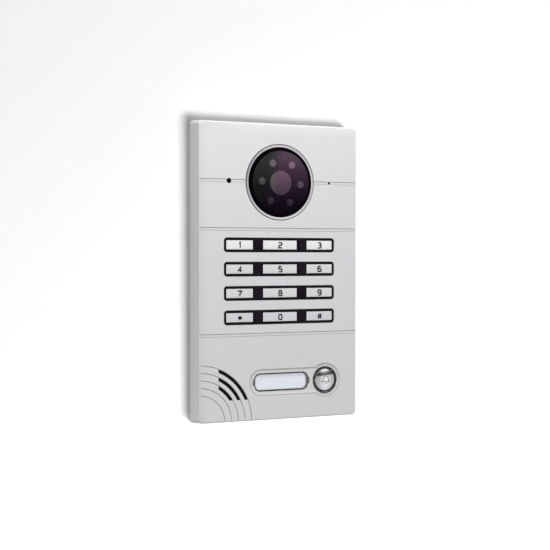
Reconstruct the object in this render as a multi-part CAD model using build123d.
"""Door intercom panel: a die-cast cover with a camera, a twelve-key pad, a name window, a call
button and a speaker, over a rear housing that drops into an opening in the wall.

Frame: millimetres, +X to the right and +Z up as a visitor sees the panel, +Y into the wall.
The origin is the centre of the panel on the wall plane, so the visible face is at negative Y.
"""

from build123d import *
import math
import os

# ---- cover and housing --------------------------------------------------------------------
PANEL_W, PANEL_H = 119.0, 200.0  # at the face
PANEL_D = 14.0  # how far the cover stands off the wall
SIDE_FLARE = 1.1  # how far each side slopes outwards from the face to the wall
CORNER_R, EDGE_R = 3.0, 1.2
WALL_T = 2.2
FACE = -PANEL_D
INNER = FACE + WALL_T  # inner surface of the cover

TUB_W, TUB_H, TUB_BACK, TUB_T = 94.0, 173.0, 24.0, 2.0
FLANGE_W, FLANGE_TOP, FLANGE_BOTTOM = 112.6, 92.2, -94.6
PLATE_FRONT, PLATE_BACK = -6.0, -4.0  # flange of the rear housing
RIB_X, RIB_TOP, RIB_BOTTOM, RIB_T = 56.0, 90.8, -93.3, 1.6
RIB_BACK = PLATE_FRONT - 1.0  # the seal fills the last millimetre
HOUSING_POSTS = [(side * 50.9, z) for side in (-1, 1) for z in (85.5, 0.0, -88.0)]

# ---- wall bracket -------------------------------------------------------------------------
BRACKET_W, BRACKET_H, BRACKET_T = 114.0, 195.0, 1.5
WALL_HOLE_X, WALL_HOLE_Z, WALL_HOLE_R = 52.25, 70.0, 2.2
HOOK_X, HOOK_TOP = 30.0, 94.0
LOCK_Y = -5.0

# ---- camera -------------------------------------------------------------------------------
CAM_Z = 60.6
WINDOW_R, WINDOW_T, WINDOW_FLANGE_R = 23.55, 1.4, 26.7
WINDOW_RIM_R, WINDOW_RIM_Y, WINDOW_APEX = 21.7, FACE - 1.5, FACE - 2.2
BEZEL_R, BEZEL_GAP, BEZEL_PROUD = 25.3, 0.55, 0.25
LENS_X, LENS_Z, LENS_R, LENS_FRONT = 0.7, CAM_Z - 0.3, 8.55, FACE - 0.1
GLASS_R, GLASS_RISE, GLASS_SEAT = 8.15, 1.1, FACE + 2.5
LAMP_X, LAMP_CIRCLE_R, LAMP_R, LAMP_RISE, LAMP_TURN = LENS_X + 0.65, 14.6, 2.4, 0.6, -3.5
LAMP_BOARD_FRONT, LAMP_BOARD_BACK = -8.6, -7.4
IMAGE_BOARD_FRONT = -4.7
IMAGE_BOARD_SCREWS = [(side * 15.0, CAM_Z) for side in (-1, 1)]
EAR_X, EAR_DZ = 23.0, 19.0
CUP_FRONT, CUP_NECK, CUP_FLOOR, CUP_BACK = INNER + 2.0, -6.3, -3.5, -2.0

# ---- shadow grooves and the two small holes beside the camera --------------------------------
HOLE_Z = CAM_Z + 0.2
GROOVE_Z = (HOLE_Z, 28.6, -42.2)
GROOVE_W, GROOVE_FLOOR = 2.1, 0.15
UPPER_LINE_W, UPPER_LINE_D, LOWER_LINE_W, LOWER_LINE_D = 0.36, 0.7, 0.26, 0.4
SENSOR_X, SENSOR_HOLE_R = -38.0, 1.75
MIC_X, MIC_HOLE_R = 38.0, 0.85

# ---- keypad -------------------------------------------------------------------------------
ROW_PITCH = 16.2
ROW_Z = [18.1 - ROW_PITCH * row for row in range(4)]
PAD_MID_Z = (ROW_Z[0] + ROW_Z[-1]) / 2
SLOT_W, SLOT_H, SLOT_R = 83.6, 9.9, 2.3
KEY_H, KEY_X, KEY_W = 6.0, (-30.2, 0.0, 30.2), (19.3, 25.2, 19.3)
KEY_NAMES = (
    ("key_1", "key_2", "key_3"),
    ("key_4", "key_5", "key_6"),
    ("key_7", "key_8", "key_9"),
    ("key_star", "key_0", "key_hash"),
)
KEY_TOP, KEY_GAP, KEY_LIP = FACE - 0.45, 0.2, 0.9
KEY_BACK = -9.3
FRAME_TOP, FRAME_BACK = FACE + 0.2, -10.4
MAT_FRONT, MAT_BACK = -6.2, -5.2
KEY_BOARD_BACK = -3.6
KEY_POSTS = [(side * 42.0, ROW_Z[0] - ROW_PITCH * step) for side in (-1, 1) for step in (0.5, 2.5)]

# ---- name window and call button --------------------------------------------------------------
PAD_Z, PAD_R, PAD_LEFT = -74.6, 8.75, -22.8
DISH_D, DISH_SLOPE = 0.45, 1.1
DISH_LINE_W, DISH_LINE_D = 0.3, 0.5
DISH_Y = FACE + DISH_D
NAME_X, NAME_W, NAME_H, NAME_R = 1.2, 41.2, 12.4, 4.5
NAME_LEDGE, NAME_BEVEL_W, NAME_BEVEL_D = 0.9, 0.85, 0.5
NOTCH_W, NOTCH_H, NOTCH_Y = 1.1, 4.4, FACE + 0.75
NOTCH_LINE_W, NOTCH_LINE_Y = 0.65, FACE + 1.8
CARD_FRONT, CARD_BACK = INNER + 0.05, INNER + 0.35
BUTTON_X, BUTTON_DISH_R = 34.7, 11.4
BUTTON_LIP_R, BUTTON_BODY_R, BUTTON_BORE_R, BUTTON_R = 9.25, 8.75, 7.8, 7.6
BUTTON_RING_BACK = -9.2
SIDE_BOARD_FRONT, SIDE_BOARD_BACK = -2.0, -0.4
SIDE_POSTS = [(-14.0, -62.0), (41.0, -62.0)]

# ---- speaker in the lower left corner ---------------------------------------------------------
RIPPLE_R = [18.4 + 4.95 * step for step in range(5)]
RIPPLE_W, RIPPLE_D = 0.42, 0.5
SLIT_W, SLIT_LEFT, SLIT_BOTTOM = 2.1, -45.7, -85.7
SPEAKER_X, SPEAKER_Z, SPEAKER_R = -36.5, -75.0, 15.2
SPEAKER_POST_R, SPEAKER_ANGLES = 16.9, (45, 135, 315)

# ---- electronics in the housing -----------------------------------------------------------
MAIN_FRONT, MAIN_BACK = 14.0, 15.6
MAIN_W, MAIN_TOP, MAIN_BOTTOM = 84.0, 40.0, -56.0
MAIN_POSTS = [(side * 38.0, z) for side in (-1, 1) for z in (36.0, -52.0)]
TERMINAL_Z, TERMINAL_W, TERMINAL_H = -42.0, 31.0, 9.0
GROMMET_Z, GROMMET_BORE_R, GROMMET_R = -69.0, 3.6, 6.0
BORDER_INSET, BORDER_W, MOULDING_D = 5.0, 1.4, 0.6
KNOCKOUTS = [(-27.0, GROMMET_Z), (27.0, GROMMET_Z)]


# ---- drawing helpers ----------------------------------------------------------------------
def level(depth):
    """A plane parallel to the face; its two axes are the panel's X and Z."""
    return Plane(origin=(0, depth, 0), x_dir=(1, 0, 0), z_dir=(0, -1, 0))


def slab(outline, back, front):
    """An outline drawn in X and Z, filled between two depths."""
    return extrude(level(back) * outline, amount=back - front)


def disc(radius, back, front, x=0.0, z=0.0):
    return slab(Pos(x, z) * Circle(radius), back, front)


def ring(outer, inner, back, front, x=0.0, z=0.0):
    return slab(Pos(x, z) * (Circle(outer) - Circle(inner)), back, front)


def block(width, height, back, front, x=0.0, z=0.0, radius=0.0):
    outline = RectangleRounded(width, height, radius) if radius else Rectangle(width, height)
    return slab(Pos(x, z) * outline, back, front)


def turned(outline, x=0.0, z=0.0):
    """A (radius, depth) outline turned about an axis along Y; a list of points or of edges."""
    if isinstance(outline[0], tuple):
        face = Polygon(*outline, align=None)
    else:
        face = make_face(outline)
    return Pos(x, 0, z) * revolve(face, Axis.Y)


def dome(rim_r, rim_y, apex_y):
    """Spherical arc from a rim to the apex on the axis, for a turned outline."""
    rise = rim_y - apex_y
    ball = (rim_r**2 + rise**2) / (2 * rise)
    half_way = apex_y + ball - math.copysign(math.sqrt(ball**2 - rim_r**2 / 4), ball)
    return ThreePointArc((rim_r, rim_y), (rim_r / 2, half_way), (0, apex_y))


def stadium(x0, z0, x1, z1, radius):
    """A round-ended bar between two centres, drawn in X and Z."""
    length = math.hypot(x1 - x0, z1 - z0)
    turn = math.degrees(math.atan2(z1 - z0, x1 - x0))
    middle = Pos((x0 + x1) / 2, (z0 + z1) / 2)
    return middle * Rot(0, 0, turn) * SlotCenterToCenter(length, 2 * radius)


def edges_at(shape, depth):
    return shape.edges().filter_by_position(Axis.Y, depth - 1e-4, depth + 1e-4)


def around(radius, angles, x, z):
    """Points on a circle, angles in degrees from +X."""
    turns = [math.radians(angle) for angle in angles]
    return [(x + radius * math.cos(turn), z + radius * math.sin(turn)) for turn in turns]


def pan_screw(x, z, seat, length, shank_r, head_r, head_h, inward=False):
    """A cross-head screw seated at a depth; driven towards the face, or inward to the wall."""
    rim = head_h * 0.55
    head = turned(
        [
            Line((0, 0), (head_r, 0)),
            Line((head_r, 0), (head_r, rim)),
            dome(head_r, rim, head_h),
            Line((0, head_h), (0, 0)),
        ]
    )
    cross = Rectangle(head_r * 1.1, head_r * 0.26) + Rectangle(head_r * 0.26, head_r * 1.1)
    screw = head - slab(cross, head_h + 0.1, head_h * 0.45) + disc(shank_r, 0, -length)
    if inward:
        screw = mirror(screw, Plane.XZ)
    return Pos(x, seat, z) * screw


# ---- cover --------------------------------------------------------------------------------
def dish_outline(inset):
    """Stadium round the name window running into a circle round the button."""
    small, big = PAD_R - inset, BUTTON_DISH_R - inset
    left = PAD_LEFT + PAD_R
    meet = BUTTON_X - math.sqrt(big**2 - small**2)
    return make_face(
        [
            Line((left, small), (meet, small)),
            ThreePointArc((meet, small), (BUTTON_X + big, 0), (meet, -small)),
            Line((meet, -small), (left, -small)),
            ThreePointArc((left, -small), (left - small, 0), (left, small)),
        ]
    )


def dish():
    """Shallow recess with sloped sides."""
    rim = level(FACE) * (Pos(0, PAD_Z) * dish_outline(0))
    floor = level(DISH_Y) * (Pos(0, PAD_Z) * dish_outline(DISH_SLOPE))
    return loft([rim.face(), floor.face()], ruled=True)


def dish_line():
    """Fine line that sets off the rim of the dish."""
    band = dish_outline(-DISH_LINE_W / 2) - dish_outline(DISH_LINE_W / 2)
    return slab(Pos(0, PAD_Z) * band, FACE + DISH_LINE_D, FACE - 1)


def shadow_groove(z):
    """A shallow band between a deep fine line above and a shallower one below."""
    top, low, floor = z + GROOVE_W / 2, z - GROOVE_W / 2, FACE + GROOVE_FLOOR
    outline = [
        (FACE - 1, top),
        (FACE + UPPER_LINE_D, top),
        (FACE + UPPER_LINE_D, top - UPPER_LINE_W),
        (floor, top - UPPER_LINE_W),
        (floor, low + LOWER_LINE_W),
        (FACE + LOWER_LINE_D, low + LOWER_LINE_W),
        (FACE + LOWER_LINE_D, low),
        (FACE - 1, low),
    ]
    section = Plane(origin=(0, 0, 0), x_dir=(0, 1, 0), z_dir=(1, 0, 0))
    return extrude(section * Polygon(*outline, align=None), amount=PANEL_W, both=True)


def ripple(radius):
    """A fine V-groove about the lower left corner."""
    half = RIPPLE_W / 2
    outline = [
        (radius - half, FACE - 0.2),
        (radius - half, FACE),
        (radius, FACE + RIPPLE_D),
        (radius + half, FACE),
        (radius + half, FACE - 0.2),
    ]
    return turned(outline, -PANEL_W / 2, -PANEL_H / 2)


def sound_slit(radius):
    """An arc-shaped slot just inside a ripple, cut off square at both ends."""
    band = Pos(-PANEL_W / 2, -PANEL_H / 2) * (Circle(radius) - Circle(radius - SLIT_W))
    span = 30.0
    limit = Pos(SLIT_LEFT + span / 2, SLIT_BOTTOM + span / 2) * Rectangle(span, span)
    return slab(band & limit, INNER + 1, FACE - 1)


def camera_posts():
    return [(sx * EAR_X, CAM_Z + sz * EAR_DZ) for sx in (-1, 1) for sz in (-1, 1)]


def speaker_posts():
    return around(SPEAKER_POST_R, SPEAKER_ANGLES, SPEAKER_X, SPEAKER_Z)


def cover_posts():
    """Screw posts inside the cover: (x, z, radius, bore radius, back end)."""
    posts = [(x, z, 3.0, 1.3, PLATE_FRONT) for x, z in HOUSING_POSTS]
    posts += [(x, z, 2.5, 1.0, PLATE_FRONT) for x, z in camera_posts()]
    posts += [(x, z, 2.2, 1.0, MAT_BACK) for x, z in KEY_POSTS]
    posts += [(x, z, 2.4, 1.0, SIDE_BOARD_FRONT) for x, z in SIDE_POSTS]
    posts += [(x, z, 1.6, 0.8, -9.8) for x, z in speaker_posts()]
    return posts


def seal_outline():
    """The closed track of the seal rib, drawn in X and Z."""
    height, middle = RIB_TOP - RIB_BOTTOM, (RIB_TOP + RIB_BOTTOM) / 2
    outer = RectangleRounded(2 * RIB_X, height, 3)
    inner = RectangleRounded(2 * (RIB_X - RIB_T), height - 2 * RIB_T, 1.4)
    return Pos(0, middle) * (outer - inner)


def cover_openings():
    """Everything cut through or into the face, as a list of cutters."""
    cuts = [block(SLOT_W, SLOT_H, INNER + 1, FACE - 1, 0, z, SLOT_R) for z in ROW_Z]
    cuts += [sound_slit(radius - 0.2) for radius in RIPPLE_R[2:]]
    cuts += [disc(WINDOW_R + 0.15, INNER + 1, FACE - 1, 0, CAM_Z)]
    cuts += [disc(BEZEL_R + BEZEL_GAP, FACE + 1.1, FACE - 1, 0, CAM_Z)]
    cuts += [disc(SENSOR_HOLE_R, INNER + 1, FACE - 1, SENSOR_X, HOLE_Z)]
    cuts += [disc(MIC_HOLE_R, INNER + 1, FACE - 1, MIC_X, HOLE_Z)]
    cuts += [dish(), dish_line()]
    cuts += [block(NAME_W, NAME_H, INNER + 1, FACE - 1, NAME_X, PAD_Z, NAME_R)]
    notch_w = NAME_W + 2 * NOTCH_W
    cuts += [block(notch_w, NOTCH_H, NOTCH_Y, FACE - 1, NAME_X, PAD_Z, 0.4)]
    for side in (-1, 1):
        x = NAME_X + side * (notch_w - NOTCH_LINE_W) / 2
        cuts += [block(NOTCH_LINE_W, NOTCH_H - 0.8, NOTCH_LINE_Y, FACE - 1, x, PAD_Z)]
    cuts += [disc(BUTTON_BODY_R + 0.05, INNER + 1, FACE - 1, BUTTON_X, PAD_Z)]
    cuts += [shadow_groove(z) for z in GROOVE_Z]
    cuts += [ripple(radius) for radius in RIPPLE_R]
    return cuts


def front_cover():
    foot = level(0) * RectangleRounded(PANEL_W + 2 * SIDE_FLARE, PANEL_H + 2 * SIDE_FLARE, CORNER_R)
    shell = loft([foot, level(FACE) * RectangleRounded(PANEL_W, PANEL_H, CORNER_R)], ruled=True)
    shell = fillet(edges_at(shell, FACE), EDGE_R)
    shell -= block(PANEL_W - 2 * WALL_T, PANEL_H - 2 * WALL_T, 1, INNER, radius=1.5)
    shell += slab(seal_outline(), RIB_BACK, INNER)
    for x, z, radius, bore, back in cover_posts():
        shell += disc(radius, back, INNER, x, z)
        shell -= disc(bore, back + 1, max(back - 6.5, INNER + 0.3), x, z)
    shell += ring(5.3, 4.3, -8.5, INNER, MIC_X, HOLE_Z)
    shell += ring(4.0, 3.05, -9.5, INNER, SENSOR_X, HOLE_Z)
    for side in (-1, 1):  # lugs that hang in the bracket's hooks
        shell += block(12, 4, -2.6, -4.8, side * HOOK_X, HOOK_TOP + 2)
    for cut in cover_openings():
        shell -= cut
    lock = Pos(0, LOCK_Y, -PANEL_H / 2)
    return shell - lock * Cylinder(1.7, 12) - lock * Cylinder(3.1, 2.4)


# ---- camera -------------------------------------------------------------------------------
def camera_bezel():
    """Bright ring set into the face round the window."""
    outer, inner, seat, top = BEZEL_R, WINDOW_R + 0.1, FACE + 1.1, FACE - BEZEL_PROUD
    return turned(
        [
            Line((inner, seat), (outer, seat)),
            Line((outer, seat), (outer, FACE)),
            ThreePointArc((outer, FACE), (outer - 0.25, top + 0.12), (outer - 0.75, top)),
            Line((outer - 0.75, top), (inner + 0.35, top)),
            Line((inner + 0.35, top), (inner, top + 0.35)),
            Line((inner, top + 0.35), (inner, seat)),
        ],
        0,
        CAM_Z,
    )


def bezel_seal():
    """Black rubber ring in the gap round the bezel."""
    play = 0.03
    outer, inner = BEZEL_R + BEZEL_GAP - play, BEZEL_R + play
    return ring(outer, inner, FACE + 1.1, FACE + 0.1, 0, CAM_Z)


def camera_window():
    """Smoked dome with a rounded rim, hollow behind, on a clamping flange."""
    flange_front, back = INNER, CUP_FRONT
    shoulder, bore, bore_rim = FACE - 0.1, WINDOW_R - WINDOW_T, WINDOW_RIM_R - WINDOW_T
    rim = (WINDOW_RIM_R, WINDOW_RIM_Y)
    inner_rim_y, inner_apex = WINDOW_RIM_Y + WINDOW_T, WINDOW_APEX + WINDOW_T
    return turned(
        [
            Line((bore, back), (WINDOW_FLANGE_R, back)),
            Line((WINDOW_FLANGE_R, back), (WINDOW_FLANGE_R, flange_front)),
            Line((WINDOW_FLANGE_R, flange_front), (WINDOW_R, flange_front)),
            Line((WINDOW_R, flange_front), (WINDOW_R, shoulder)),
            ThreePointArc((WINDOW_R, shoulder), (WINDOW_R - 0.55, FACE - 1.1), rim),
            dome(*rim, WINDOW_APEX),
            Line((0, WINDOW_APEX), (0, inner_apex)),
            dome(bore_rim, inner_rim_y, inner_apex),
            Line((bore_rim, inner_rim_y), (bore, shoulder + WINDOW_T)),
            Line((bore, shoulder + WINDOW_T), (bore, back)),
        ],
        0,
        CAM_Z,
    )


def camera_cup():
    """Black cup that clamps the window flange and carries the two camera boards."""
    cup = disc(WINDOW_FLANGE_R, CUP_NECK, CUP_FRONT, 0, CAM_Z)
    cup += disc(23.6, CUP_BACK, CUP_NECK, 0, CAM_Z)
    for x, z in camera_posts():
        near_x, near_z = x * 0.6, CAM_Z + (z - CAM_Z) * 0.6
        cup += slab(stadium(near_x, near_z, x, z, 3.2), PLATE_BACK, PLATE_FRONT)
    cup -= disc(24.8, LAMP_BOARD_BACK, CUP_FRONT - 1, 0, CAM_Z)
    cup -= disc(21.8, CUP_FLOOR, LAMP_BOARD_BACK - 1, 0, CAM_Z)
    cup -= block(22, 5, CUP_BACK + 1, CUP_FLOOR - 1, 0, CAM_Z - 15.5, 1)
    for x, z in IMAGE_BOARD_SCREWS:
        cup += disc(2.0, CUP_BACK + 1.5, CUP_BACK, x, z)
        cup -= disc(0.8, CUP_BACK + 1.0, CUP_FLOOR - 1, x, z)
    for x, z in camera_posts():
        cup -= disc(1.25, PLATE_BACK + 1, PLATE_FRONT - 1, x, z)
    return cup


def lamp_places():
    angles = [LAMP_TURN + 60 * step for step in range(6)]
    return around(LAMP_CIRCLE_R, angles, LAMP_X, LENS_Z)


def lamp_mask():
    """Black plate round the lens and lamps, on a skirt that stands on the lamp board."""
    plate_back, plate_front = FACE + 1.6, FACE + 0.8
    mask = disc(20.1, plate_back, plate_front, 0, CAM_Z)
    mask += ring(20.1, 19.1, LAMP_BOARD_FRONT, plate_back, 0, CAM_Z)
    mask -= disc(LENS_R + 0.25, plate_back + 1, plate_front - 1, LENS_X, LENS_Z)
    for x, z in lamp_places():
        mask -= disc(LAMP_R + 0.35, plate_back + 1, plate_front - 1, x, z)
    return mask


def infrared_lamps():
    """Low-domed lamps standing on the lamp board."""
    tip, base = FACE - 0.1, LAMP_BOARD_FRONT
    shoulder = tip + LAMP_RISE
    outline = [
        Line((0, base), (LAMP_R + 0.3, base)),
        Line((LAMP_R + 0.3, base), (LAMP_R + 0.3, base - 1)),
        Line((LAMP_R + 0.3, base - 1), (LAMP_R, base - 1)),
        Line((LAMP_R, base - 1), (LAMP_R, shoulder)),
        dome(LAMP_R, shoulder, tip),
        Line((0, tip), (0, base)),
    ]
    return Compound([turned(outline, x, z) for x, z in lamp_places()])


def lens_barrel():
    """Rim, seat of the glass, neck and foot of the lens."""
    bore, ledge, neck, foot = GLASS_R + 0.05, GLASS_R - 1.2, 6.2, 8.2
    outline = [
        (4.2, GLASS_SEAT + 1.6),
        (ledge, GLASS_SEAT + 1.6),
        (ledge, GLASS_SEAT),
        (bore, GLASS_SEAT),
        (bore, LENS_FRONT),
        (LENS_R - 0.15, LENS_FRONT),
        (LENS_R, LENS_FRONT + 0.15),
        (LENS_R, LAMP_BOARD_FRONT - 0.6),
        (neck, LAMP_BOARD_FRONT - 0.6),
        (neck, -6.6),
        (foot, -6.6),
        (foot, IMAGE_BOARD_FRONT),
        (4.2, IMAGE_BOARD_FRONT),
    ]
    return turned(outline, LENS_X, LENS_Z)


def lens_glass():
    """Wide front element, domed towards the visitor."""
    rim = LENS_FRONT + 0.6
    outline = [
        Line((0, GLASS_SEAT), (GLASS_R, GLASS_SEAT)),
        Line((GLASS_R, GLASS_SEAT), (GLASS_R, rim)),
        dome(GLASS_R, rim, rim - GLASS_RISE),
        Line((0, rim - GLASS_RISE), (0, GLASS_SEAT)),
    ]
    return turned(outline, LENS_X, LENS_Z)


def camera_boards():
    """The lamp board, and the image board on the floor of the cup."""
    lamp_board = ring(24.6, 9.8, LAMP_BOARD_BACK, LAMP_BOARD_FRONT, 0, CAM_Z)
    outline = Pos(0, CAM_Z) * (Circle(20.5) & Rectangle(41, 36))
    image_board = slab(outline, CUP_FLOOR, IMAGE_BOARD_FRONT)
    for x, z in IMAGE_BOARD_SCREWS:
        image_board -= disc(1.0, CUP_FLOOR + 1, IMAGE_BOARD_FRONT - 1, x, z)
    return Compound([lamp_board, image_board])


def light_sensor():
    """Dark epoxy sensor whose nose fills its hole in the cover."""
    nose, nose_r = FACE + 0.9, SENSOR_HOLE_R - 0.1
    outline = [
        (0, nose),
        (nose_r - 0.3, nose),
        (nose_r, nose + 0.3),
        (nose_r, INNER),
        (3.0, INNER),
        (3.0, -8.4),
        (2.4, -7.8),
        (0, -7.8),
    ]
    return turned(outline, SENSOR_X, HOLE_Z)


def microphone_boot():
    boot = disc(4.25, -6.0, INNER, MIC_X, HOLE_Z)
    return boot - disc(3.0, -5, -10, MIC_X, HOLE_Z) - disc(1.0, -9, INNER - 1, MIC_X, HOLE_Z)


def microphone():
    capsule = disc(2.95, -6.6, -10.0, MIC_X, HOLE_Z)
    return capsule - ring(2.6, 2.2, -6, -7.0, MIC_X, HOLE_Z)


# ---- keypad -------------------------------------------------------------------------------
def keypad_frame():
    """Black frame that fills the four slots behind the cover and guides the keys."""
    frame = block(92, 64, FRAME_BACK, INNER, 0, PAD_MID_Z, 3)
    for z in ROW_Z:
        frame += block(SLOT_W - 0.2, SLOT_H - 0.2, INNER, FRAME_TOP, 0, z, SLOT_R - 0.1)
        for side in (-1, 1):
            frame += block(4.8, KEY_H - 0.4, FRAME_TOP, FRAME_TOP - 0.3, side * 16.6, z, 0.5)
        for x, width in zip(KEY_X, KEY_W):
            opening = (width + 2 * KEY_GAP, KEY_H + 2 * KEY_GAP)
            frame -= block(*opening, FRAME_BACK + 1, FRAME_TOP - 1, x, z, 0.4)
    for x, z in KEY_POSTS:
        frame -= disc(2.3, FRAME_BACK + 1, INNER - 0.01, x, z)
    return frame


def key_cap(x, z, width):
    """A bar with sloped ends over a retaining lip."""
    half, top, back = width / 2, KEY_TOP, FRAME_BACK + 0.1
    outline = [
        (-half, back),
        (-half, top + 0.4),
        (-half + 0.95, top),
        (half - 0.95, top),
        (half, top + 0.4),
        (half, back),
    ]
    lower = Plane(origin=(x, 0, z - KEY_H / 2), x_dir=(1, 0, 0), z_dir=(0, 0, 1))
    bar = extrude(lower * Polygon(*outline, align=None), amount=KEY_H)
    bar = fillet(bar.edges().filter_by_position(Axis.Y, top - 0.01, top + 0.41), 0.15)
    lip = block(width + 2 * KEY_LIP, KEY_H + 2 * KEY_LIP, KEY_BACK, back, x, z, 0.6)
    return bar + lip


def keypad_mat():
    """Silicone sheet with one raised pad under each key."""
    mat = block(88, 61, MAT_BACK, MAT_FRONT, 0, PAD_MID_Z, 2)
    for z in ROW_Z:
        for x, width in zip(KEY_X, KEY_W):
            mat += block(width * 0.55, 3.6, MAT_FRONT, KEY_BACK, x, z, 1.2)
    for x, z in KEY_POSTS:
        mat -= disc(2.35, MAT_BACK + 1, MAT_FRONT - 1, x, z)
    return mat


def key_board():
    board = block(88.6, 62, KEY_BOARD_BACK, MAT_BACK, 0, PAD_MID_Z, 1.5)
    for x, z in KEY_POSTS:
        board -= disc(1.2, KEY_BOARD_BACK + 1, MAT_BACK - 1, x, z)
    return board


# ---- name window --------------------------------------------------------------------------
def name_window():
    """Clear lid that lies on the tray's ledge and can be prised out by its two notches."""
    front = DISH_Y + 0.05
    lid = block(NAME_W - 0.3, NAME_H - 0.3, INNER, front, NAME_X, PAD_Z, NAME_R - 0.15)
    face = lid.faces().sort_by(Axis.Y)[0]
    return chamfer(edges_at(lid, front), NAME_BEVEL_D, NAME_BEVEL_W, reference=face)


def name_tray():
    """White frame behind the opening, from the cover back to the side board."""
    tray = block(NAME_W + 2.2, NAME_H + 2.6, SIDE_BOARD_FRONT, INNER, NAME_X, PAD_Z, NAME_R)
    inside = (NAME_W - 2 * NAME_LEDGE, NAME_H - 2 * NAME_LEDGE)
    tray -= block(*inside, -4.4, INNER - 1, NAME_X, PAD_Z, NAME_R - NAME_LEDGE)
    return tray - block(34, 7, SIDE_BOARD_FRONT + 1, -4.5, NAME_X, PAD_Z, 1)


def name_fill(back, front):
    """A piece that drops into the tray."""
    width, height = NAME_W - 2 * NAME_LEDGE - 0.2, NAME_H - 2 * NAME_LEDGE - 0.2
    return block(width, height, back, front, NAME_X, PAD_Z, NAME_R - NAME_LEDGE - 0.1)


def name_lamps():
    return Compound([block(3.2, 2.8, SIDE_BOARD_FRONT, -3.6, x, PAD_Z, 0.3) for x in (-8, 1.2, 10.4)])


# ---- call button --------------------------------------------------------------------------
def button_ring():
    """Polished collar with a lip over the dish floor and a threaded body through the cover."""
    lip, body, bore, top = BUTTON_LIP_R, BUTTON_BODY_R, BUTTON_BORE_R, FACE - 0.4
    return turned(
        [
            Line((bore, BUTTON_RING_BACK), (body, BUTTON_RING_BACK)),
            Line((body, BUTTON_RING_BACK), (body, DISH_Y)),
            Line((body, DISH_Y), (lip, DISH_Y)),
            ThreePointArc((lip, DISH_Y), (lip - 0.2, FACE - 0.1), (lip - 0.6, top)),
            Line((lip - 0.6, top), (bore + 0.35, top)),
            Line((bore + 0.35, top), (bore, top + 0.35)),
            Line((bore, top + 0.35), (bore, BUTTON_RING_BACK)),
        ],
        BUTTON_X,
        PAD_Z,
    )


def button_nut():
    """Slotted ring nut that clamps the collar from behind."""
    nut = ring(11.1, BUTTON_BODY_R + 0.05, -9.6, INNER, BUTTON_X, PAD_Z)
    for x, z in around(11.2, range(30, 360, 60), BUTTON_X, PAD_Z):
        nut -= disc(1.1, -9, INNER - 1, x, z)
    return nut


def call_button():
    """Domed cap with a lip behind the collar and a stem that presses the contact."""
    edge, apex, lip_front, lip_back = FACE - 0.05, FACE - 1.45, -9.1, -8.1
    return turned(
        [
            Line((0, apex), (0, -6.0)),
            Line((0, -6.0), (2.4, -6.0)),
            Line((2.4, -6.0), (2.4, lip_back)),
            Line((2.4, lip_back), (8.5, lip_back)),
            Line((8.5, lip_back), (8.5, lip_front)),
            Line((8.5, lip_front), (BUTTON_R, lip_front)),
            Line((BUTTON_R, lip_front), (BUTTON_R, edge + 0.2)),
            Line((BUTTON_R, edge + 0.2), (BUTTON_R - 0.2, edge)),
            dome(BUTTON_R - 0.2, edge, apex),
        ],
        BUTTON_X,
        PAD_Z,
    )


def button_spring():
    """Return spring between the button's lip and the side board."""
    wire_r, coil_r = 0.4, 5.6
    height = SIDE_BOARD_FRONT + 8.1 - 2 * wire_r - 0.1
    coil = Helix(height / 4, height, coil_r)
    start = Plane(origin=coil @ 0, z_dir=coil % 0)
    spring = sweep(start * Circle(wire_r), path=coil)
    return Pos(BUTTON_X, SIDE_BOARD_FRONT - wire_r - 0.05, PAD_Z) * Rot(90, 0, 0) * spring


def button_contact():
    """Rubber dome with a conducting pill, under the button's stem."""
    outline = [
        (0, -6.0),
        (2.0, -6.0),
        (2.3, -4.6),
        (3.6, -3.2),
        (4.0, SIDE_BOARD_FRONT),
        (3.0, SIDE_BOARD_FRONT),
        (2.8, -2.9),
        (1.5, -4.0),
        (0, -4.0),
    ]
    return turned(outline, BUTTON_X, PAD_Z)


def side_board():
    """Board behind the name window and the button."""
    board = block(62, 25, SIDE_BOARD_BACK, SIDE_BOARD_FRONT, 13, -71.2, 1.5)
    for x, z in SIDE_POSTS:
        board -= disc(1.2, SIDE_BOARD_BACK + 1, SIDE_BOARD_FRONT - 1, x, z)
    return board


# ---- speaker ------------------------------------------------------------------------------
def speaker_mesh():
    """Black dust cloth with a felt rim that the basket presses on."""
    rim = ring(SPEAKER_R, 13.4, -10.9, -11.4, SPEAKER_X, SPEAKER_Z)
    return rim + disc(SPEAKER_R, -11.4, INNER, SPEAKER_X, SPEAKER_Z)


def speaker_basket():
    outline = [
        (13.4, -10.9),
        (SPEAKER_R, -10.9),
        (SPEAKER_R, -9.7),
        (13.9, -9.7),
        (8.2, -6.4),
        (4.4, -6.4),
        (4.4, -6.9),
        (7.8, -6.9),
        (13.4, -10.1),
    ]
    return turned(outline, SPEAKER_X, SPEAKER_Z)


def speaker_cone():
    """Rolled surround, cone and dust cap in one thin skin."""
    outer = [(13.4, -10.9), (12.9, -10.9), (12.2, -11.2), (11.4, -10.8), (4.0, -8.0), (2.2, -8.9)]
    inner = [(2.2, -8.6), (4.0, -7.6), (11.4, -10.4), (12.2, -10.8), (12.9, -10.5), (13.4, -10.5)]
    return turned([*outer, (0, -9.2), (0, -8.9), *inner], SPEAKER_X, SPEAKER_Z)


def speaker_magnet():
    outline = [
        (0, -6.4),
        (7.6, -6.4),
        (7.6, -5.4),
        (8.0, -5.2),
        (8.0, -2.4),
        (7.6, -2.2),
        (7.6, -1.2),
        (0, -1.2),
    ]
    return turned(outline, SPEAKER_X, SPEAKER_Z)


# ---- rear housing and wall bracket --------------------------------------------------------
def housing_seal():
    return slab(seal_outline(), PLATE_FRONT, RIB_BACK)


def frame_outline(width, height, line, radius, z=0.0):
    """The outline of a rectangular line of even width."""
    outer = RectangleRounded(width, height, radius)
    inner = RectangleRounded(width - 2 * line, height - 2 * line, radius - line)
    return Pos(0, z) * (outer - inner)


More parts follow.
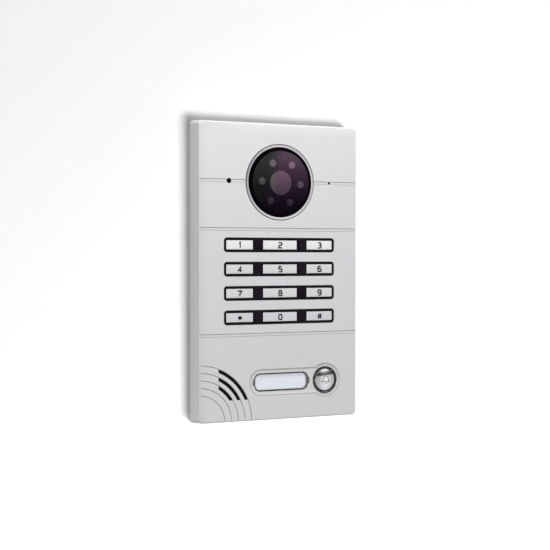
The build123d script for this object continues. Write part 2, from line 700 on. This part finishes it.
def moulded_lines():
    """Relief on the back: border, label field, ribs, knock-out rings and an upward arrow."""
    lines = frame_outline(TUB_W - 2 * BORDER_INSET, TUB_H - 2 * BORDER_INSET, BORDER_W, 3.5)
    lines += frame_outline(58, 34, 0.9, 2.5, 14)
    for side in (-1, 1):
        for step in range(6):
            lines += Pos(side * 24.5, 42 + 5 * step) * SlotOverall(24, 1.6)
    for x, z in KNOCKOUTS:
        lines += Pos(x, z) * (Circle(9.0) - Circle(8.2))
        lines += Pos(x, z) * (Circle(6.2) - Circle(5.6))
    lines += Pos(0, 64) * Polygon((0, 6), (-5, 0), (5, 0), align=None)
    return lines + Pos(0, 58) * Rectangle(3.4, 12)


def rear_housing():
    flange_h, flange_z = FLANGE_TOP - FLANGE_BOTTOM, (FLANGE_TOP + FLANGE_BOTTOM) / 2
    tub = block(TUB_W, TUB_H, TUB_BACK, PLATE_BACK, radius=5)
    tub = fillet(edges_at(tub, TUB_BACK), 1.5)
    tub += block(FLANGE_W, flange_h, PLATE_BACK, PLATE_FRONT, 0, flange_z, 3)
    inside = (TUB_W - 2 * TUB_T, TUB_H - 2 * TUB_T)
    tub -= block(*inside, TUB_BACK - TUB_T, PLATE_FRONT - 1, radius=3)
    for x, z in HOUSING_POSTS:
        tub -= disc(1.6, 0, -10, x, z)
    for x, z in MAIN_POSTS:
        tub += disc(3.0, TUB_BACK - TUB_T, MAIN_BACK, x, z)
        tub -= disc(1.3, TUB_BACK - 1.0, MAIN_BACK - 1, x, z)
    terminal_hole = (TERMINAL_W + 0.6, TERMINAL_H + 0.6)
    tub -= block(*terminal_hole, TUB_BACK + 1, TUB_BACK - 4, 0, TERMINAL_Z, 0.5)
    tub -= disc(GROMMET_R, TUB_BACK + 1, TUB_BACK - 4, 0, GROMMET_Z)
    return tub - slab(moulded_lines(), TUB_BACK + 1, TUB_BACK - MOULDING_D)


def cable_grommet():
    """Rubber bush for the cable, gripping the edge of its hole."""
    outline = [
        (GROMMET_BORE_R, TUB_BACK - 4.0),
        (GROMMET_R + 1.4, TUB_BACK - 3.2),
        (GROMMET_R + 1.6, TUB_BACK - TUB_T),
        (GROMMET_R, TUB_BACK - TUB_T),
        (GROMMET_R, TUB_BACK),
        (GROMMET_R + 1.6, TUB_BACK),
        (GROMMET_R + 1.2, TUB_BACK + 1.4),
        (GROMMET_BORE_R, TUB_BACK + 1.4),
    ]
    return turned(outline, 0, GROMMET_Z)


def mounting_bracket():
    """Steel frame screwed to the wall, with two hooks above and a tapped tab below."""
    opening_w, opening_h = TUB_W + 1.0, TUB_H + 1.0
    plate = block(BRACKET_W, BRACKET_H, 0, -BRACKET_T, radius=2)
    plate -= block(opening_w, opening_h, 1, -BRACKET_T - 1, radius=5.5)
    for sx in (-1, 1):
        for sz in (-1, 1):
            plate -= disc(WALL_HOLE_R, 1, -BRACKET_T - 1, sx * WALL_HOLE_X, sz * WALL_HOLE_Z)
        plate += block(10, 1.2, -BRACKET_T, -6.5, sx * HOOK_X, HOOK_TOP - 0.6)
        plate += block(10, 3.6, -5.3, -6.5, sx * HOOK_X, HOOK_TOP + 0.6)
    plate += block(14, 1.5, -BRACKET_T, -9.0, 0, -96.6)
    return plate - Pos(0, LOCK_Y, -97) * Cylinder(1.6, 8)


# ---- electronics --------------------------------------------------------------------------
def main_board():
    middle, height = (MAIN_TOP + MAIN_BOTTOM) / 2, MAIN_TOP - MAIN_BOTTOM
    board = block(MAIN_W, height, MAIN_BACK, MAIN_FRONT, 0, middle, 2)
    for x, z in MAIN_POSTS:
        board -= disc(1.6, MAIN_BACK + 1, MAIN_FRONT - 1, x, z)
    return board


def shield_can():
    can = block(30, 24, MAIN_FRONT, MAIN_FRONT - 3.6, -18, 18, 1.5)
    can = fillet(edges_at(can, MAIN_FRONT - 3.6), 0.6)
    for step in range(4):
        can -= disc(0.9, MAIN_FRONT - 3, MAIN_FRONT - 5, -27 + 6 * step, 18)
    return can


def chip(width, height, thickness, x, z, front=MAIN_FRONT):
    """A flat package with a pin-one dimple."""
    body = block(width, height, front, front - thickness, x, z, 0.4)
    dimple = (x - width / 2 + 1.2, z + height / 2 - 1.2)
    return body - disc(0.5, front - thickness + 0.2, front - thickness - 1, *dimple)


def chips():
    layout = [(12, 12, 1.4, 16, 22), (9, 6, 1.5, 16, 6), (7, 10, 1.3, -8, -10), (5, 6, 1.2, 4, -14)]
    return Compound([chip(*place) for place in layout])


def relay():
    can = block(19, 15.5, MAIN_FRONT, MAIN_FRONT - 12, 27, -36, 0.8)
    return fillet(edges_at(can, MAIN_FRONT - 12), 0.5)


def capacitors():
    """Upright electrolytic cans with a rolled groove and a scored top."""
    radius, height = 4.0, 11.0
    base, top = MAIN_FRONT, MAIN_FRONT - height
    outline = [
        (0, base),
        (radius, base),
        (radius, base - 1.6),
        (radius - 0.35, base - 2.0),
        (radius, base - 2.4),
        (radius, top + 0.4),
        (radius - 0.4, top),
        (radius - 0.8, top),
        (radius - 1.0, top + 0.25),
        (0, top + 0.25),
    ]
    return Compound([turned(outline, x, z) for x, z in ((-32, -10), (-32, -21), (-22, -21))])


def terminal_block():
    """Eight-way screw terminals on the back of the board, showing through the housing."""
    body = block(TERMINAL_W, TERMINAL_H, TUB_BACK, MAIN_BACK, 0, TERMINAL_Z, 0.4)
    pitch, ways = 3.7, 8
    for way in range(ways):
        x = (way - (ways - 1) / 2) * pitch
        body -= block(2.6, 3.2, TUB_BACK + 1, TUB_BACK - 4.5, x, TERMINAL_Z - 2.0, 0.3)
        body -= disc(1.3, TUB_BACK + 1, TUB_BACK - 1.2, x, TERMINAL_Z + 2.2)
    return body


def connector(width, x, z, foot, mouth):
    """An open-topped socket standing on a board; foot and mouth are depths."""
    body = block(width, 5.2, max(foot, mouth), min(foot, mouth), x, z, 0.5)
    rise = 1.2 if mouth > foot else -1.2
    ends = (foot + rise, mouth + rise)
    return body - block(width - 1.6, 3.4, max(ends), min(ends), x, z)


SOCKET_MAIN, SOCKET_KEYS, SOCKET_SIDE, SOCKET_CAMERA = 9.8, -0.2, 3.0, -0.8  # mouth depths


def connectors():
    on_main = [(16, 0, 34), (12, 0, -27), (10, -2, -50), (6, -24, -50), (6, 28, 34), (6, -28, 34)]
    sockets = [connector(width, x, z, MAIN_FRONT, SOCKET_MAIN) for width, x, z in on_main]
    sockets += [connector(12, 0, -32, KEY_BOARD_BACK, SOCKET_KEYS)]
    sockets += [connector(10, -2, -62.5, SIDE_BOARD_BACK, SOCKET_SIDE)]
    sockets += [block(16, 4, SOCKET_CAMERA, CUP_FLOOR, 0, CAM_Z - 15.5, 0.5)]
    return Compound(sockets)


def ribbon(width, x, points):
    """Flat cable through (depth, z) points."""
    path = Spline(*[(x, y, z) for y, z in points])
    section = Plane(origin=path @ 0, x_dir=(1, 0, 0), z_dir=path % 0) * Rectangle(width, 0.4)
    return sweep(section, path=path)


def ribbon_cables():
    return Compound(
        [
            ribbon(12, 0, [(SOCKET_CAMERA + 0.1, 45.1), (3.5, 44.5), (7.0, 36.0), (11.6, 34.0)]),
            ribbon(9, 0, [(-1.6, -32.0), (2.6, -31.4), (7.0, -27.8), (11.6, -27.0)]),
            ribbon(7, -2, [(1.6, -62.5), (5.0, -61.0), (8.0, -52.5), (11.6, -50.0)]),
        ]
    )


def lead(points):
    path = Spline(*points)
    return sweep(Plane(origin=path @ 0, z_dir=path % 0) * Circle(0.5), path=path)


def leads():
    """Pairs of insulated wires from the microphone, the light sensor and the speaker."""
    wires = []
    for offset in (-0.8, 0.8):
        mic = [(38, -6.2, 60.8), (37, 0, 55), (31, 4.5, 40), (28, 8, 34.3), (28, 10.9, 34)]
        sensor = [(-38, -7.4, 60.8), (-37, 0, 55), (-31, 4.5, 40), (-28, 8, 34.3), (-28, 10.9, 34)]
        speaker = [(-30.5, -7.2, -66), (-29, -2, -63), (-25, 5, -52.5), (-24, 10.9, -50)]
        for points in (mic, sensor, speaker):
            wires.append(lead([(x + offset, y, z) for x, y, z in points]))
    return Compound(wires)


# ---- screws -------------------------------------------------------------------------------
def housing_screws():
    """Large screws of the housing flange, and of the main board driven the other way."""
    screws = [pan_screw(x, z, PLATE_BACK, 7.0, 1.25, 2.7, 1.8) for x, z in HOUSING_POSTS]
    screws += [pan_screw(x, z, MAIN_FRONT, 7.0, 1.25, 2.7, 1.8, True) for x, z in MAIN_POSTS]
    return Compound(screws)


def board_screws():
    """Medium screws of the camera cup, the key board and the side board."""
    screws = [pan_screw(x, z, PLATE_BACK, 6.5, 0.95, 1.9, 1.3) for x, z in camera_posts()]
    screws += [pan_screw(x, z, KEY_BOARD_BACK, 6.0, 0.95, 1.9, 1.3) for x, z in KEY_POSTS]
    screws += [pan_screw(x, z, SIDE_BOARD_BACK, 6.0, 0.95, 1.9, 1.3) for x, z in SIDE_POSTS]
    return Compound(screws)


def small_screws():
    """Small wide-headed screws that hold the speaker's rim and the image board."""
    screws = [pan_screw(x, z, -9.7, 1.7, 0.75, 2.3, 1.1) for x, z in speaker_posts()]
    for x, z in IMAGE_BOARD_SCREWS:
        screws.append(pan_screw(x, z, IMAGE_BOARD_FRONT, 2.9, 0.75, 2.3, 1.1, True))
    return Compound(screws)


def lock_screw():
    """Security screw through the bottom edge of the cover into the bracket's tab."""
    screw = pan_screw(0, 0, 0, 3.6, 1.5, 2.8, 1.1)
    return Pos(0, LOCK_Y, -PANEL_H / 2 + 1.2) * Rot(-90, 0, 0) * screw


# ---- every part by name -------------------------------------------------------------------
parts = {
    "front_cover": front_cover(),
    "camera_bezel": camera_bezel(),
    "bezel_seal": bezel_seal(),
    "camera_window": camera_window(),
    "camera_cup": camera_cup(),
    "camera_boards": camera_boards(),
    "lamp_mask": lamp_mask(),
    "infrared_lamps": infrared_lamps(),
    "lens_barrel": lens_barrel(),
    "lens_glass": lens_glass(),
    "light_sensor": light_sensor(),
    "microphone_boot": microphone_boot(),
    "microphone": microphone(),
    "keypad_frame": keypad_frame(),
    "keypad_mat": keypad_mat(),
    "key_board": key_board(),
    "name_window": name_window(),
    "name_card": name_fill(CARD_BACK, CARD_FRONT),
    "light_guide": name_fill(-4.4, CARD_BACK),
    "name_tray": name_tray(),
    "name_lamps": name_lamps(),
    "button_ring": button_ring(),
    "button_nut": button_nut(),
    "call_button": call_button(),
    "button_spring": button_spring(),
    "button_contact": button_contact(),
    "side_board": side_board(),
    "speaker_mesh": speaker_mesh(),
    "speaker_basket": speaker_basket(),
    "speaker_cone": speaker_cone(),
    "speaker_magnet": speaker_magnet(),
    "housing_seal": housing_seal(),
    "rear_housing": rear_housing(),
    "cable_grommet": cable_grommet(),
    "mounting_bracket": mounting_bracket(),
    "main_board": main_board(),
    "shield_can": shield_can(),
    "chips": chips(),
    "relay": relay(),
    "capacitors": capacitors(),
    "terminal_block": terminal_block(),
    "connectors": connectors(),
    "ribbon_cables": ribbon_cables(),
    "leads": leads(),
    "housing_screws": housing_screws(),
    "board_screws": board_screws(),
    "small_screws": small_screws(),
    "lock_screw": lock_screw(),
}
for z, names in zip(ROW_Z, KEY_NAMES):
    for name, x, width in zip(names, KEY_X, KEY_W):
        parts[name] = key_cap(x, z, width)

os.makedirs("parts", exist_ok=True)
for name, shape in parts.items():
    export_step(shape, f"parts/{name}.step")
